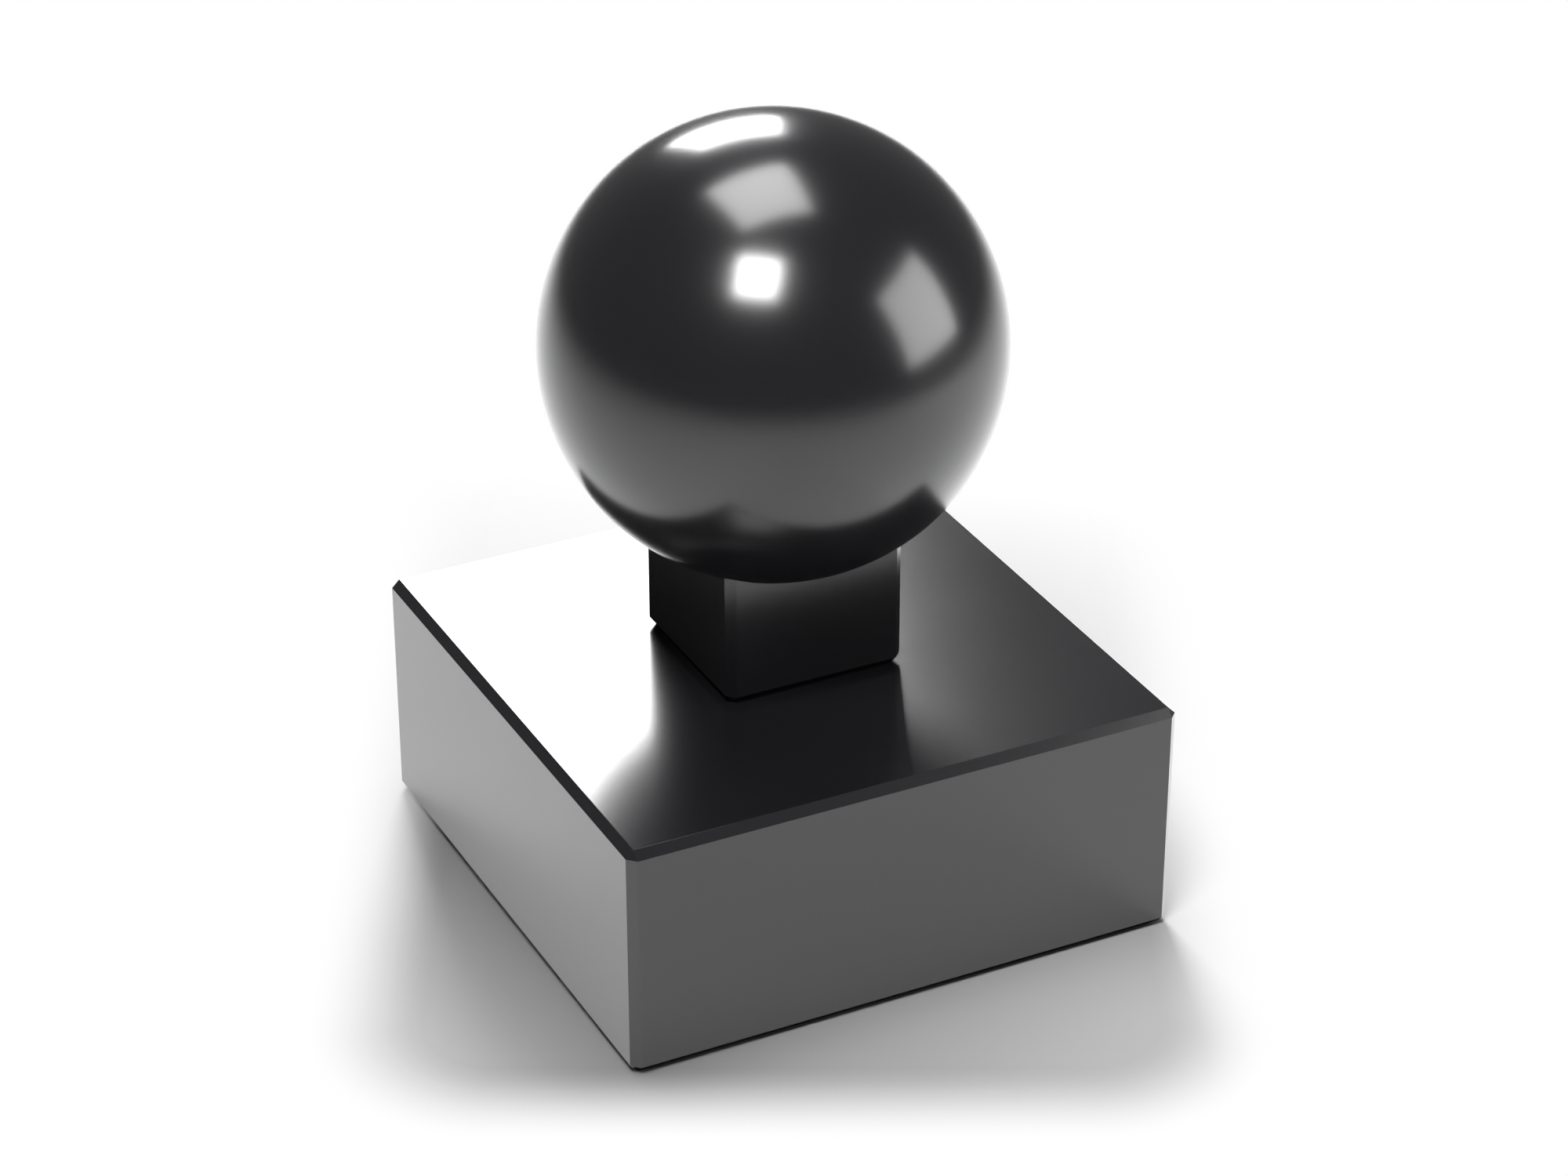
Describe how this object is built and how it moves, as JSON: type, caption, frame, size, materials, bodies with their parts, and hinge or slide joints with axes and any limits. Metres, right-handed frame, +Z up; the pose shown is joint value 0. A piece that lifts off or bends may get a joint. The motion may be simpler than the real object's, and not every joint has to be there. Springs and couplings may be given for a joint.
{
  "type": "ball post cap",
  "caption": "Square hollow cap for the top of a fence post, carrying a square neck block and a ball, in black gloss coated metal.",
  "frame": {"origin": "centre of the cap's underside, where its rim stands", "axes": "+Z up through the neck and the ball; +X and +Y square to the cap's sides"},
  "size_m": [0.1, 0.1, 0.1369],
  "materials": {
    "cap_coat": "black gloss powder coat, smooth",
    "neck_coat": "black gloss powder coat, smooth",
    "ball_coat": "black gloss powder coat, smooth"
  },
  "bodies": {
    "root": {"post_cap": "cap_coat", "neck_block": "neck_coat", "ball": "ball_coat"}
  },
  "joints": []
}
